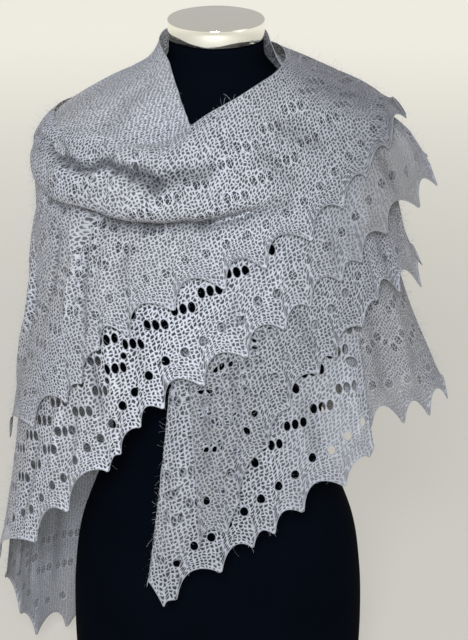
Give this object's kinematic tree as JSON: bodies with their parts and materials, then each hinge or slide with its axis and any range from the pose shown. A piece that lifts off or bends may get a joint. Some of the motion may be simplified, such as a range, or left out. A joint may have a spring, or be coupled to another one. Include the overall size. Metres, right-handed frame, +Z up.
{
  "type": "shawl on a limbless dress form",
  "caption": "Lace-knit triangular shawl with toothed hems, wound round the shoulders of a limbless dress form with a flat base and a round neck cap.",
  "frame": {"origin": "centre of the dress form's flat base, on the surface that it stands on", "axes": "+Z up along the torso, -Y the side that the front of the shawl faces, +X to the right of someone who looks at the front"},
  "size_m": [0.5491, 0.3541, 0.8674],
  "materials": {
    "form_jersey": "matte blue-black stretch jersey over a smooth shell",
    "cap_chrome": "polished chrome band with a plain bright top",
    "lace_knit": "silver-grey brushed mohair and silk lace knit with a soft halo"
  },
  "bodies": {
    "root": {"form_torso": "form_jersey", "neck_cap": "cap_chrome", "collar": "lace_knit", "top_wrap_left": "lace_knit", "top_wrap": "lace_knit", "top_wrap_back": "lace_knit", "second_wrap_left": "lace_knit", "second_wrap": "lace_knit", "front_pleat": "lace_knit", "front_end": "lace_knit", "back_lower": "lace_knit", "back_upper": "lace_knit"}
  },
  "joints": []
}
